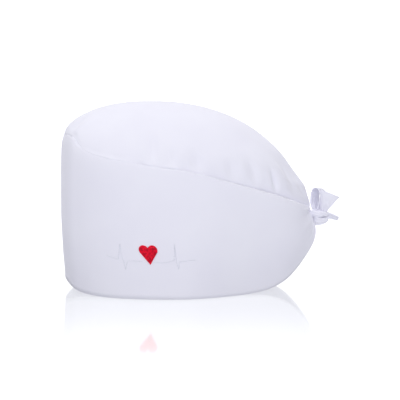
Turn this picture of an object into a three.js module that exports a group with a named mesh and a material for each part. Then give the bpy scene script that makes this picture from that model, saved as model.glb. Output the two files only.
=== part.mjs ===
import * as THREE from 'three';
import { mergeVertices } from 'three/addons/utils/BufferGeometryUtils.js';

// A tie-back scrub cap of white cotton, filled out to its worn shape and standing on its hem.
// Millimetres, +Z up. The forehead is at -Y, the tie at +Y and the embroidered side at +X.
// The tables measure from the middle of the cap's 240 mm length, at the level of the hem.

// Driving sizes
const CLOTH = 1.5;
const SEAM_GAP = 0.3;
const CROWN_TUCK = 1;
const TOP = new THREE.Vector3(0, -35, 174.5);
const FULLER_AT_TOP = 0.28;

// How many sections the crown's corners are evened out over, at the sides and at the tie, how
// close to the tie the second number counts, and how fast the evening sets in above the seam
const EVENING_AT_SIDES = 1.2;
const EVENING_AT_TIE = 4;
const EVENING_NEARNESS = 6;
const EVENING_START = 1.2;

// The band's swell: how slowly it starts above the hem, and how sharp its shoulder at the seam is
const SWELL_START = 1.3;
const SHOULDER_SHARPNESS = 6;

// How finely the faces follow the cloth
const FACES_AROUND = 88;
const FACES_UP_BAND = 10;
const CLOSER_TOWARDS_SEAM = 1.8;
const FACES_UP_CROWN = 11;
const FACES_ALONG_RIBBON = 14;
const FACES_ACROSS_RIBBON = 4;

// The embroidered half of the cap in sections, from the middle of the forehead to the tie.
// Each section has the point where it meets the crown seam, the point where it meets the hem,
// how far the band swells out between the two, and how full the crown's arc is above the seam,
// where 2 is a quarter of an ellipse.
const SECTION_COLUMNS = ['seamX', 'seamY', 'seamZ', 'hemX', 'hemY', 'hemZ', 'swell', 'fullness'];
const SECTIONS = [
  [0, -115.4, 143.6, 0, -116, 10.5, 3.8, 1.86],
  [18, -114, 144.4, 19, -114.6, 9.8, 3.8, 1.86],
  [33.5, -109, 145, 35, -109.8, 6.6, 4, 1.8],
  [42.6, -104.4, 142.6, 46.5, -104, 3.6, 4.2, 1.7],
  [49.4, -99.2, 136.4, 55, -96.6, 1.8, 4, 1.58],
  [58.5, -89.5, 131, 64.5, -86, 0.8, 3.8, 1.52],
  [68.5, -72.5, 127, 75, -68, 0, 3.2, 1.52],
  [75.5, -50.5, 123, 81.8, -46.5, 0, 2.6, 1.56],
  [78.7, -27, 119.4, 84.6, -23, 0, 2.2, 1.6],
  [78.4, -4, 116.4, 83.6, -1, 0, 2.4, 1.62],
  [75.6, 16, 111.6, 76.5, 18, 0, 3, 1.66],
  [69.5, 35, 106, 65.6, 37.5, 0, 4, 1.7],
  [61.5, 52, 100.5, 53.8, 56.5, 0.8, 5, 1.74],
  [52, 68.5, 95, 42, 74.5, 3.4, 6, 1.78],
  [42.5, 82.5, 89.8, 31, 90, 10, 6.6, 1.82],
  [34, 92.5, 85.5, 20.5, 101.8, 20, 6.8, 1.82],
  [26, 100, 81.8, 12, 111.4, 31.8, 6, 1.82],
  [18.5, 105.4, 79.2, 7.8, 117.4, 42, 4, 1.82],
  [12, 109.3, 77.3, 6.3, 119.8, 51.6, 1.8, 1.82],
  [7.2, 112.2, 75.4, 6.6, 118.6, 60, 0.8, 1.82],
  [3.4, 114.6, 72.8, 3.8, 116, 65.6, 0.2, 1.82],
];
const LAST_SECTION = SECTIONS.length - 1;

// Soft gathers that run from the seam up over the crown: the section that each lies on, negative
// on the plain side, its share of the way to the top, and its width and depth.
const CROWN_FOLD_COLUMNS = ['section', 'reach', 'width', 'depth'];
const CROWN_FOLDS = [
  [2.9, 0.3, 6, 2.4],
  [7.9, 0.42, 8, 1.8],
  [8.8, 0.24, 7, 1.6],
  [9.9, 0.3, 9, 2],
  [11.4, 0.26, 8, 1.8],
  [12.6, 0.3, 7, 2],
  [13.5, 0.3, 5, 2.6],
  [15.4, 0.42, 6, 2.2],
  [17.2, 0.3, 4, 1.6],
  [-3.2, 0.3, 7, 2],
  [-7.4, 0.36, 8, 1.8],
  [-9.3, 0.28, 8, 1.8],
  [-11.1, 0.3, 8, 2],
  [-12.9, 0.34, 7, 2.4],
  [-14.6, 0.36, 6, 2.2],
  [-16.6, 0.34, 5, 1.8],
];

// Gathers of the band that run into the tie: the height that each lies at, from 0 at the hem to
// 1 at the seam, how far it reaches from the tie, and its width and depth.
const TIE_FOLD_COLUMNS = ['height', 'reach', 'width', 'depth'];
const TIE_FOLDS = [
  [0.36, 28, 0.1, 1.1],
  [0.68, 34, 0.1, 1.7],
];

// The embroidered heart, a pad of stitches on the side of the band: two round lobes over a point
const HEART_MIDDLE = { y: -36.1, z: 40.2 };
const HEART_WIDTH = 16.3;
const LOBE_RADIUS = 0.26 * HEART_WIDTH;
const LOBE_OFFSET = HEART_WIDTH / 2 - LOBE_RADIUS;
const LOBE_RISE = 0.783 * HEART_WIDTH;
const HEART_TILT = THREE.MathUtils.degToRad(6);
const HEART_EDGE_THICKNESS = 0.5;
const HEART_MIDDLE_THICKNESS = 1;
const HEART_LOBE_FACES = 11;
const HEART_RINGS = [1, 0.6, 0];

// The knot of the tie, and how blunt its ends are
const KNOT_MIDDLE = new THREE.Vector3(0, 122.1, 68.7);
const KNOT_RADIUS = new THREE.Vector3(5.4, 7.4, 4.2);
const KNOT_BLUNTNESS = 0.5;
const KNOT_FACES_ROUND = 16;
const KNOT_FACES_ALONG = 12;

// The ribbons of the tie. Each row is a place along the ribbon's middle line, with the ribbon's
// width there, the direction across it and the depth that it is cupped to across its width.
const RIBBON_THICKNESS = 1.4;
const RIBBON_COLUMNS = ['x', 'y', 'z', 'width', 'acrossX', 'acrossY', 'acrossZ', 'cup'];
const UPPER_LOOP = [
  [-2.6, 120.8, 74.9, 6, 0.9, -0.4, 0, 0],
  [-6.2, 118.8, 77.6, 8.5, 0.7, -0.7, 0, 0],
  [-9.6, 119.4, 81.6, 10.6, 0.64, -0.77, 0, 0],
  [-10.4, 119.8, 86.4, 11, 0.64, -0.77, 0, 0],
  [-8.6, 121.5, 90.4, 11, 0.64, -0.77, 0, 0],
  [-5.4, 124.1, 90.6, 11, 0.64, -0.77, 0, 0],
  [-3.4, 125.9, 86.8, 11, 0.64, -0.77, 0, 0],
  [-2.6, 126.2, 81.4, 9.6, 0.64, -0.77, 0, 0],
  [-1.2, 125, 77.4, 7.6, 0.7, -0.7, 0, 0],
  [0.4, 123.7, 74.9, 6, 0.9, -0.4, 0, 0],
];
const UPPER_END = [
  [3.7, 126.8, 73.6, 6, 0.4, 0.91, 0, 0.6],
  [4.6, 128, 76.8, 8.6, 0.2, 0.96, -0.15, 1],
  [5.4, 129.6, 80.2, 11.6, 0.05, 0.95, -0.28, 1.4],
  [5.8, 131.2, 83.6, 15.2, -0.05, 0.9, -0.42, 1.6],
  [5.8, 133.2, 87, 19, -0.1, 0.87, -0.47, 1.4],
];
const LOWER_LOOP = [
  [-0.6, 118.4, 64.2, 6, 1, 0, -0.1, 0],
  [-0.8, 118.9, 61.6, 8, 0.92, 0.1, -0.38, 0],
  [-0.6, 121.4, 59.9, 10, 0.86, 0, -0.5, 0],
  [0, 125.6, 60.2, 10, 0.86, 0, -0.5, 0],
  [0.4, 129.4, 61.4, 9, 0.88, 0, -0.46, 0],
  [0.8, 130.4, 63.4, 8, 0.92, -0.1, -0.38, 0],
  [0.6, 128.2, 64.9, 6.6, 0.98, 0, -0.2, 0],
];
const LOWER_END = [
  [0.2, 129.9, 68, 7, 0.97, 0, -0.22, 0.5],
  [0.8, 133.4, 67.2, 8.6, 0.96, 0, -0.26, 0.6],
  [1.2, 137.2, 65.6, 10, 0.95, 0, -0.3, 0.6],
  [1.4, 141.3, 64.2, 11, 0.95, 0, -0.3, 0.4],
];

const table = (columns, rows) => rows.map(
  (row) => Object.fromEntries(columns.map((column, place) => [column, row[place]])),
);

const sections = table(SECTION_COLUMNS, SECTIONS);
const crownFolds = table(CROWN_FOLD_COLUMNS, CROWN_FOLDS);
const tieFolds = table(TIE_FOLD_COLUMNS, TIE_FOLDS);

// A smooth line through one point of every section, from the tie along the plain side to the
// forehead and back along the embroidered side
function lineThrough(pointOf) {
  const plain = sections.slice(1).reverse().map((row) => pointOf(row, -1));
  const embroidered = sections.map((row) => pointOf(row, 1));
  return new THREE.CatmullRomCurve3([...plain, ...embroidered], false, 'centripetal');
}

const seamLine = lineThrough((row, side) => new THREE.Vector3(side * row.seamX, row.seamY, row.seamZ));
const hemLine = lineThrough((row, side) => new THREE.Vector3(side * row.hemX, row.hemY, row.hemZ));
const middleLine = lineThrough((row, side) => new THREE.Vector3(
  side * (row.seamX + row.hemX) / 2,
  (row.seamY + row.hemY) / 2,
  (row.seamZ + row.hemZ) / 2,
));
const fullnessLine = lineThrough((row) => new THREE.Vector3(row.swell, row.fullness, 0));

// A section number runs from -LAST_SECTION to LAST_SECTION, and both of these are at the tie
const along = (section) => THREE.MathUtils.clamp(0.5 + section / (2 * LAST_SECTION), 0, 1);

// Section numbers at even steps of length round the cap
function evenSections(count) {
  const numbers = [];
  for (let step = 0; step <= count; step += 1) {
    const t = middleLine.getUtoTmapping(step / count);
    numbers.push((t - 0.5) * 2 * LAST_SECTION);
  }
  return numbers;
}

// The level direction that points out of the cap at one section
function outwardOf(line, section) {
  const run = line.getTangent(along(section));
  return new THREE.Vector3(run.y, -run.x, 0).normalize();
}

// A smooth bump that is 1 at its middle and dies out at about twice its width
const bump = (distance, width) => Math.exp(-((distance / width) ** 2));

// The unit direction out of a surface given as a function of a section and a height
function normalOf(surface, section, height) {
  const step = 0.01;
  const low = Math.max(height - step, 0);
  const high = Math.min(height + step, 1);
  const from = Math.max(section - step, -LAST_SECTION);
  const to = Math.min(section + step, LAST_SECTION);
  const across = surface(to, height).sub(surface(from, height));
  const up = surface(section, high).sub(surface(section, low));
  return across.cross(up).normalize();
}

// The share of a section's swell at a height: slow above the hem, with a round shoulder at the seam
function swellShare(height) {
  if (height < 0.5) {
    return Math.sin(Math.PI * height) ** SWELL_START;
  }
  return Math.sqrt(1 - (2 * height - 1) ** SHOULDER_SHARPNESS);
}

// The outside of the band, at a height from 0 at the hem to 1 at the seam
function bandSkin(section, height) {
  const t = along(section);
  const point = hemLine.getPoint(t);
  point.z = Math.max(point.z, 0);
  point.lerp(seamLine.getPoint(t), height);
  const fromTie = middleLine.getPoint(t).distanceTo(middleLine.getPoint(section < 0 ? 0 : 1));
  let out = fullnessLine.getPoint(t).x * swellShare(height);
  for (const fold of tieFolds) {
    const inReach = bump(fromTie - fold.reach / 2, fold.reach / 2);
    out -= fold.depth * bump(height - fold.height, fold.width) * inReach;
  }
  return point.addScaledVector(outwardOf(middleLine, section), out);
}

// The lower edge of the crown, just inside the top of the band
function crownEdge(section) {
  const edge = seamLine.getPoint(along(section));
  edge.addScaledVector(outwardOf(seamLine, section), -CLOTH - SEAM_GAP);
  edge.z -= CROWN_TUCK;
  return edge;
}

// The crown's edge with its corners evened out over the sections on both sides
function evenedEdge(section) {
  const evened = new THREE.Vector3();
  const shares = [-1, -0.5, 0, 0.5, 1];
  const nearTie = Math.abs(section / LAST_SECTION) ** EVENING_NEARNESS;
  const reach = THREE.MathUtils.lerp(EVENING_AT_SIDES, EVENING_AT_TIE, nearTie);
  for (const share of shares) {
    const beside = section + share * reach + LAST_SECTION;
    evened.add(crownEdge(THREE.MathUtils.euclideanModulo(beside, 2 * LAST_SECTION) - LAST_SECTION));
  }
  return evened.divideScalar(shares.length);
}

// The plain outside of the crown, at a rise from 0 at the seam to 1 at the top
function plainCrown(section, rise) {
  const edge = evenedEdge(section).lerp(crownEdge(section), (1 - rise) ** EVENING_START);
  const turn = (rise * Math.PI) / 2;
  const fullness = fullnessLine.getPoint(along(section)).y + FULLER_AT_TOP * rise;
  const power = 2 / fullness;
  const point = TOP.clone().lerp(edge, Math.cos(turn) ** power);
  point.z = edge.z + (TOP.z - edge.z) * Math.sin(turn) ** power;
  return point;
}

// The outside of the crown with its gathers, each of which starts and ends level
function crownSkin(section, rise) {
  const point = plainCrown(section, rise);
  const onSeam = seamLine.getPoint(along(section));
  let sink = 0;
  for (const fold of crownFolds) {
    const apart = onSeam.distanceTo(seamLine.getPoint(along(fold.section)));
    const hump = Math.sin(Math.PI * Math.min(rise / fold.reach, 1)) ** 2;
    sink += fold.depth * bump(apart, fold.width) * hump;
  }
  return point.addScaledVector(normalOf(plainCrown, section, rise), -sink);
}

// Triangles that are gathered one by one and then closed into one body
class Body {
  constructor() {
    this.positions = [];
  }

  triangle(a, b, c) {
    const least = 1e-3;
    if (a.distanceTo(b) > least && b.distanceTo(c) > least && c.distanceTo(a) > least) {
      this.positions.push(...a.toArray(), ...b.toArray(), ...c.toArray());
    }
  }

  quad(a, b, c, d) {
    this.triangle(a, b, c);
    this.triangle(a, c, d);
  }

  // Faces between two equal rows of points
  strip(low, high) {
    for (let i = 0; i + 1 < low.length; i += 1) {
      this.quad(low[i], low[i + 1], high[i + 1], high[i]);
    }
  }

  geometry() {
    const loose = new THREE.BufferGeometry();
    loose.setAttribute('position', new THREE.Float32BufferAttribute(this.positions, 3));
    const merged = mergeVertices(loose, 1e-3);
    merged.computeVertexNormals();
    return merged;
  }
}

// A closed wall between an outside and an inside, each a list of rows from its lower edge up.
// A ring has rows that close on themselves, and a pole is a last row that is a single point.
function wall(outside, inside, { ring = false, pole = false } = {}) {
  const body = new Body();
  const top = outside.length - 1;
  const end = outside[0].length - 1;
  for (let row = 0; row < top; row += 1) {
    body.strip(outside[row], outside[row + 1]);
    body.strip(inside[row + 1], inside[row]);
  }
  body.strip(inside[0], outside[0]);
  if (!pole) {
    body.strip(outside[top], inside[top]);
  }
  if (!ring) {
    body.strip(outside.map((row) => row[0]), inside.map((row) => row[0]));
    body.strip(inside.map((row) => row[end]), outside.map((row) => row[end]));
  }
  return body.geometry();
}

// The band: a high strip from one side of the tie round the forehead to its other side
function bandGeometry() {
  const numbers = evenSections(FACES_AROUND);
  const outside = [];
  const inside = [];
  for (let row = 0; row <= FACES_UP_BAND; row += 1) {
    const height = 1 - (1 - row / FACES_UP_BAND) ** CLOSER_TOWARDS_SEAM;
    outside.push(numbers.map((section) => bandSkin(section, height)));
    inside.push(numbers.map((section, place) => {
      const point = outside[row][place].clone();
      const out = row === 0 ? outwardOf(hemLine, section) : normalOf(bandSkin, section, height);
      return point.addScaledVector(out, -CLOTH);
    }));
  }
  return wall(outside, inside);
}

// The crown: the top panel, a ring of cloth at the seam that closes over the head
function crownGeometry() {
  const numbers = evenSections(FACES_AROUND);
  const outside = [];
  const inside = [];
  for (let row = 0; row <= FACES_UP_CROWN; row += 1) {
    const rise = row / FACES_UP_CROWN;
    const pole = row === FACES_UP_CROWN;
    outside.push(numbers.map((section) => (pole ? TOP.clone() : crownSkin(section, rise))));
    inside.push(numbers.map((section, place) => {
      const out = pole ? new THREE.Vector3(0, 0, 1) : normalOf(crownSkin, section, rise);
      return outside[row][place].clone().addScaledVector(out, -CLOTH);
    }));
    outside[row].push(outside[row][0]);
    inside[row].push(inside[row][0]);
  }
  return wall(outside, inside, { ring: true, pole: true });
}

// The place on the embroidered side of the band that has a given y and z, found by steps along
// the slopes of the skin that start near the heart
function onBand(y, z) {
  const place = { section: LAST_SECTION / 3, height: 0.3 };
  const step = 0.01;
  const rounds = 12;
  for (let round = 0; round < rounds; round += 1) {
    const here = bandSkin(place.section, place.height);
    const bySection = bandSkin(place.section + step, place.height).sub(here).divideScalar(step);
    const byHeight = bandSkin(place.section, place.height + step).sub(here).divideScalar(step);
    const area = bySection.y * byHeight.z - bySection.z * byHeight.y;
    const missY = y - here.y;
    const missZ = z - here.z;
    place.section += (missY * byHeight.z - missZ * byHeight.y) / area;
    place.height += (bySection.y * missZ - bySection.z * missY) / area;
  }
  return place;
}

// The heart's outline round from its point, level and upright, measured from its middle
function heartOutline() {
  const height = LOBE_RISE + LOBE_RADIUS;
  const fromPoint = Math.hypot(LOBE_OFFSET, LOBE_RISE);
  const start = Math.atan2(-LOBE_RISE, -LOBE_OFFSET) + Math.acos(LOBE_RADIUS / fromPoint);
  const end = Math.PI - Math.acos(LOBE_OFFSET / LOBE_RADIUS);
  const lobe = [];
  for (let i = 0; i <= HEART_LOBE_FACES; i += 1) {
    const turn = THREE.MathUtils.lerp(start, end, i / HEART_LOBE_FACES);
    lobe.push(new THREE.Vector2(
      LOBE_OFFSET + LOBE_RADIUS * Math.cos(turn),
      LOBE_RISE - height / 2 + LOBE_RADIUS * Math.sin(turn),
    ));
  }
  const mirrored = lobe.slice(0, -1).reverse().map((point) => new THREE.Vector2(-point.x, point.y));
  const tip = new THREE.Vector2(0, -height / 2);
  return [tip, ...lobe, ...mirrored, tip];
}

// The heart: a padded patch of satin stitch that lies on the band
function heartGeometry() {
  const outline = heartOutline();
  const layer = (share, lift) => outline.map((corner) => {
    const { x: across, y: up } = corner.clone().multiplyScalar(share);
    const y = HEART_MIDDLE.y + across * Math.cos(HEART_TILT) - up * Math.sin(HEART_TILT);
    const z = HEART_MIDDLE.z + across * Math.sin(HEART_TILT) + up * Math.cos(HEART_TILT);
    const { section, height } = onBand(y, z);
    return bandSkin(section, height).addScaledVector(normalOf(bandSkin, section, height), lift);
  });
  const thickness = (share) => THREE.MathUtils.lerp(HEART_MIDDLE_THICKNESS, HEART_EDGE_THICKNESS, share ** 2);
  const front = HEART_RINGS.map((share) => layer(share, SEAM_GAP + thickness(share)));
  const back = HEART_RINGS.map((share) => layer(share, SEAM_GAP));
  const body = new Body();
  for (let ring = 0; ring + 1 < HEART_RINGS.length; ring += 1) {
    body.strip(front[ring], front[ring + 1]);
    body.strip(back[ring + 1], back[ring]);
  }
  body.strip(back[0], front[0]);
  return body.geometry();
}

// A strip of folded cloth along a line of rows, cupped across its width
function ribbonGeometry(rowList) {
  const rows = table(RIBBON_COLUMNS, rowList);
  const path = new THREE.CatmullRomCurve3(rows.map(({ x, y, z }) => new THREE.Vector3(x, y, z)));
  const acrossLine = new THREE.CatmullRomCurve3(
    rows.map(({ acrossX, acrossY, acrossZ }) => new THREE.Vector3(acrossX, acrossY, acrossZ)),
  );
  const sizes = new THREE.CatmullRomCurve3(rows.map(({ width, cup }) => new THREE.Vector3(width, cup, 0)));
  const under = [];
  const over = [];
  for (let i = 0; i <= FACES_ALONG_RIBBON; i += 1) {
    const t = i / FACES_ALONG_RIBBON;
    const run = path.getTangent(t);
    const side = acrossLine.getPoint(t);
    side.addScaledVector(run, -side.dot(run)).normalize();
    const face = run.clone().cross(side).normalize();
    const { x: width, y: cup } = sizes.getPoint(t);
    under.push([]);
    over.push([]);
    for (let j = 0; j <= FACES_ACROSS_RIBBON; j += 1) {
      const share = (2 * j) / FACES_ACROSS_RIBBON - 1;
      const point = path.getPoint(t).addScaledVector(side, (share * width) / 2);
      point.addScaledVector(face, cup * share ** 2);
      under[i].push(point.clone().addScaledVector(face, -RIBBON_THICKNESS / 2));
      over[i].push(point.clone().addScaledVector(face, RIBBON_THICKNESS / 2));
    }
  }
  return wall(under, over);
}

// The knot: a blunt, flattened ball of wound cloth
function knotGeometry() {
  const ball = new THREE.SphereGeometry(1, KNOT_FACES_ROUND, KNOT_FACES_ALONG);
  const corners = ball.attributes.position;
  for (let i = 0; i < corners.count; i += 1) {
    const y = corners.getY(i);
    corners.setY(i, Math.sign(y) * Math.abs(y) ** KNOT_BLUNTNESS);
  }
  ball.scale(KNOT_RADIUS.x, KNOT_RADIUS.y, KNOT_RADIUS.z);
  ball.translate(KNOT_MIDDLE.x, KNOT_MIDDLE.y, KNOT_MIDDLE.z);
  return ball;
}

const cotton = new THREE.MeshStandardMaterial({ color: 0xf3f4fa, roughness: 0.9, metalness: 0 });
const redThread = new THREE.MeshStandardMaterial({ color: 0xc8102e, roughness: 0.55, metalness: 0 });

const cap = new THREE.Group();

function add(name, geometry, material) {
  const mesh = new THREE.Mesh(geometry, material);
  mesh.name = name;
  cap.add(mesh);
}

add('band', bandGeometry(), cotton);
add('crown', crownGeometry(), cotton);
add('embroidered_heart', heartGeometry(), redThread);
add('tie_knot', knotGeometry(), cotton);
add('tie_upper_loop', ribbonGeometry(UPPER_LOOP), cotton);
add('tie_upper_end', ribbonGeometry(UPPER_END), cotton);
add('tie_lower_loop', ribbonGeometry(LOWER_LOOP), cotton);
add('tie_lower_end', ribbonGeometry(LOWER_END), cotton);

// The origin is the middle of the whole cap's outline on the floor
const box = new THREE.Box3().setFromObject(cap);
const middle = box.getCenter(new THREE.Vector3());
cap.position.set(-middle.x, -middle.y, -box.min.z);

export default cap;
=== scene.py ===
"""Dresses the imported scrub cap: its cotton band and crown, the seam, the tie and the embroidery.

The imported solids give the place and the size. Each one is replaced by a finer piece of cloth that
follows the same sections, with the gathers, stitches and weave that the solids leave out.
Sizes are in millimetres unless a name says otherwise, and meshes are stored in metres.
"""

import logging
import math
from collections.abc import Callable, Sequence
from dataclasses import dataclass, field
from enum import Enum

import bmesh
import bpy
import numpy as np
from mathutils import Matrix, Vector


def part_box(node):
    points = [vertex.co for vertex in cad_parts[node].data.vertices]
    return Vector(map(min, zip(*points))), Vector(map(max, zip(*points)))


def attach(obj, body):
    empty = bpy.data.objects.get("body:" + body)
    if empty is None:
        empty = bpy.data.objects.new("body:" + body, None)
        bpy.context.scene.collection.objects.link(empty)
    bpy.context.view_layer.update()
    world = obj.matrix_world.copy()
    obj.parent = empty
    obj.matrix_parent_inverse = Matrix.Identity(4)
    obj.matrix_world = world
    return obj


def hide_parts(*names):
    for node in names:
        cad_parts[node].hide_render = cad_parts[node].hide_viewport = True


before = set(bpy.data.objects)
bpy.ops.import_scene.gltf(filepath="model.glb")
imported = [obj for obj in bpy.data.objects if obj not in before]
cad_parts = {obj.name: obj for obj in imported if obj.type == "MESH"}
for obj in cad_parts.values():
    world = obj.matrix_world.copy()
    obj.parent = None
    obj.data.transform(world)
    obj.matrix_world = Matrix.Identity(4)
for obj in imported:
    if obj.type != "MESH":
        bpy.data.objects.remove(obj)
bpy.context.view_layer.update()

LOG = logging.getLogger("scrub_cap")
MM = 0.001
ROOT = "root"
Array = np.ndarray
Verts = Sequence[bmesh.types.BMVert]


class Slot(Enum):
    """The record's material slots."""

    COTTON = "cotton"
    RED_THREAD = "red_thread"


def linear(colour: str) -> tuple[float, float, float, float]:
    """Turns an sRGB hex colour to linear.

    Args:
        colour: Six hex digits after a hash sign.

    Returns:
        Linear red, green, blue and an alpha of 1.
    """
    parts = [int(colour[start:start + 2], 16) / 255 for start in (1, 3, 5)]
    return (*(c / 12.92 if c <= 0.04045 else ((c + 0.055) / 1.055) ** 2.4 for c in parts), 1.0)


def add_node(
    tree: bpy.types.NodeTree,
    kind: str,
    settings: dict[str, object] | None = None,
    inputs: dict[str | int, object] | None = None,
) -> bpy.types.Node:
    """Adds one node with its settings and links.

    Args:
        tree: The node tree that gets it.
        kind: The node's type.
        settings: Values for the node's own properties.
        inputs: A value, or the socket to link from, for each named or numbered input.

    Returns:
        The new node.
    """
    node = tree.nodes.new(kind)
    for name, value in (settings or {}).items():
        setattr(node, name, value)
    for name, value in (inputs or {}).items():
        if isinstance(value, bpy.types.NodeSocket):
            tree.links.new(value, node.inputs[name])
        else:
            node.inputs[name].default_value = value
    return node


def empty_material(name: str) -> tuple[bpy.types.Material, bpy.types.NodeTree]:
    """Makes a material with no nodes in it.

    Args:
        name: The material's name.

    Returns:
        The material and its node tree.
    """
    material = bpy.data.materials.new(name)
    material.use_nodes = True
    material.node_tree.nodes.clear()
    return material, material.node_tree


def wave_scale(spacing: float) -> float:
    """Gives a Wave Texture's Scale for bands this far apart in mm. At 1 they repeat every 2 pi / 20."""
    return 2 * math.pi / 20 / (spacing * MM)


def finish_material(tree: bpy.types.NodeTree, shader: bpy.types.Node) -> None:
    """Links a shader to a new material output.

    Args:
        tree: The material's node tree.
        shader: The node whose first output is the surface.
    """
    add_node(tree, "ShaderNodeOutputMaterial", inputs={"Surface": shader.outputs[0]})


@dataclass(frozen=True)
class WovenCotton:
    """Bleached plain-weave cotton poplin, washed: matte, with a faint fuzz and a blue-white cast."""

    colour: str = "#EBEBF6"
    shade: str = "#E4E3F1"
    roughness: float = 0.86
    ior: float = 1.45
    specular: float = 0.25
    sheen: float = 0.22
    sheen_roughness: float = 0.5
    # Poplin threads lie about 0.25 mm apart. They are drawn at 0.6 mm, as fine as a close view shows.
    thread_spacing: float = 0.6
    thread_relief: float = 0.035
    thread_strength: float = 0.6
    # The faint change of tint and the soft crumple that washing leaves
    cloud_size: float = 45.0
    crumple_size: float = 14.0
    crumple_relief: float = 0.35
    crumple_strength: float = 0.5

    def build(self, name: str) -> bpy.types.Material:
        """Makes the material, with its threads on the piece's own UV map in metres.

        Args:
            name: The material's name.

        Returns:
            The material.
        """
        material, tree = empty_material(name)
        place = add_node(tree, "ShaderNodeTexCoord")
        cloud = add_node(
            tree,
            "ShaderNodeTexNoise",
            inputs={"Vector": place.outputs["Object"], "Scale": 1 / (self.cloud_size * MM), "Detail": 2.0},
        )
        tint = add_node(
            tree,
            "ShaderNodeMix",
            settings={"data_type": "RGBA"},
            inputs={0: cloud.outputs["Fac"], 6: linear(self.colour), 7: linear(self.shade)},
        )
        warp, weft = (
            add_node(
                tree,
                "ShaderNodeTexWave",
                settings={"wave_type": "BANDS", "bands_direction": direction},
                inputs={"Vector": place.outputs["UV"], "Scale": wave_scale(self.thread_spacing)},
            )
            for direction in ("X", "Y")
        )
        threads = add_node(
            tree,
            "ShaderNodeMath",
            settings={"operation": "MAXIMUM"},
            inputs={0: warp.outputs["Fac"], 1: weft.outputs["Fac"]},
        )
        crumple = add_node(
            tree,
            "ShaderNodeTexNoise",
            inputs={"Vector": place.outputs["Object"], "Scale": 1 / (self.crumple_size * MM), "Detail": 1.0},
        )
        soft = add_node(
            tree,
            "ShaderNodeBump",
            inputs={
                "Strength": self.crumple_strength,
                "Distance": self.crumple_relief * MM,
                "Height": crumple.outputs["Fac"],
            },
        )
        woven = add_node(
            tree,
            "ShaderNodeBump",
            inputs={
                "Strength": self.thread_strength,
                "Distance": self.thread_relief * MM,
                "Height": threads.outputs[0],
                "Normal": soft.outputs[0],
            },
        )
        shader = add_node(
            tree,
            "ShaderNodeBsdfPrincipled",
            inputs={
                "Base Color": tint.outputs[2],
                "Roughness": self.roughness,
                "IOR": self.ior,
                "Specular IOR Level": self.specular,
                "Sheen Weight": self.sheen,
                "Sheen Roughness": self.sheen_roughness,
                "Normal": woven.outputs[0],
            },
        )
        finish_material(tree, shader)
        return material


@dataclass(frozen=True)
class EmbroideryThread:
    """Twisted rayon thread, two plies: a soft gloss along each stitch, and painted shade that darkens the
    twist line between the plies.
    """

    colour: str
    shade: str
    roughness: float = 0.36
    ior: float = 1.5
    specular: float = 0.24
    ply_spacing: float = 0.9
    ply_relief: float = 0.05
    ply_strength: float = 0.5
    ply_slant: float = math.radians(35)
    # How far painted shade darkens the tint in the twist grooves between the plies
    groove_shade_share: float = 0.5
    # Painted shine: the tint is painted brighter in some patches of about this size in mm and duller in
    # others, for the changing shine of the thread
    shine_patch_size: float = 2.2
    shine_patch_share: float = 0.9
    shine_patch_range: tuple[float, float] = (0.36, 0.64)

    def build(self, name: str) -> bpy.types.Material:
        """Makes the material, with the plies slanted over the stitch.

        Args:
            name: The material's name.

        Returns:
            The material.
        """
        material, tree = empty_material(name)
        place = add_node(tree, "ShaderNodeTexCoord")
        turn = add_node(
            tree,
            "ShaderNodeMapping",
            inputs={"Vector": place.outputs["Object"], "Rotation": (self.ply_slant, 0.0, 0.0)},
        )
        ply = add_node(
            tree,
            "ShaderNodeTexWave",
            settings={"wave_type": "BANDS", "bands_direction": "Y"},
            inputs={"Vector": turn.outputs[0], "Scale": wave_scale(self.ply_spacing)},
        )
        # Painted shine: noise that makes the thread's colour brighter and duller from patch to patch
        shine_patches = add_node(
            tree,
            "ShaderNodeTexNoise",
            inputs={"Vector": place.outputs["Object"], "Scale": 1 / (self.shine_patch_size * MM), "Detail": 1.0},
        )
        lit = add_node(
            tree,
            "ShaderNodeMapRange",
            inputs={
                "Value": shine_patches.outputs["Fac"],
                "From Min": self.shine_patch_range[0],
                "From Max": self.shine_patch_range[1],
            },
        )
        share = add_node(
            tree,
            "ShaderNodeMath",
            settings={"operation": "MULTIPLY_ADD"},
            inputs={0: lit.outputs[0], 1: self.shine_patch_share, 2: 0.5 - self.shine_patch_share / 2},
        )
        # The mix of painted shade in the twist grooves and the painted shine patches
        shade_and_shine_fac = add_node(
            tree,
            "ShaderNodeMath",
            settings={"operation": "MULTIPLY_ADD", "use_clamp": True},
            inputs={0: ply.outputs["Fac"], 1: self.groove_shade_share, 2: share.outputs[0]},
        )
        # Painted shade and painted shine: the thread's colour turns towards its shade colour in the grooves
        # and in the duller patches
        tint = add_node(
            tree,
            "ShaderNodeMix",
            settings={"data_type": "RGBA"},
            inputs={0: shade_and_shine_fac.outputs[0], 6: linear(self.shade), 7: linear(self.colour)},
        )
        bump = add_node(
            tree,
            "ShaderNodeBump",
            inputs={
                "Strength": self.ply_strength,
                "Distance": self.ply_relief * MM,
                "Height": ply.outputs["Fac"],
            },
        )
        shader = add_node(
            tree,
            "ShaderNodeBsdfPrincipled",
            inputs={
                "Base Color": tint.outputs[2],
                "Roughness": self.roughness,
                "IOR": self.ior,
                "Specular IOR Level": self.specular,
                "Normal": bump.outputs[0],
            },
        )
        finish_material(tree, shader)
        return material


# Each thread's second colour is its painted shade, for the twist grooves and the duller patches
RED_RAYON = EmbroideryThread("#F00030", "#9E001E")
GREY_RAYON = EmbroideryThread("#E4E5F0", "#D8DAE6")


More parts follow.
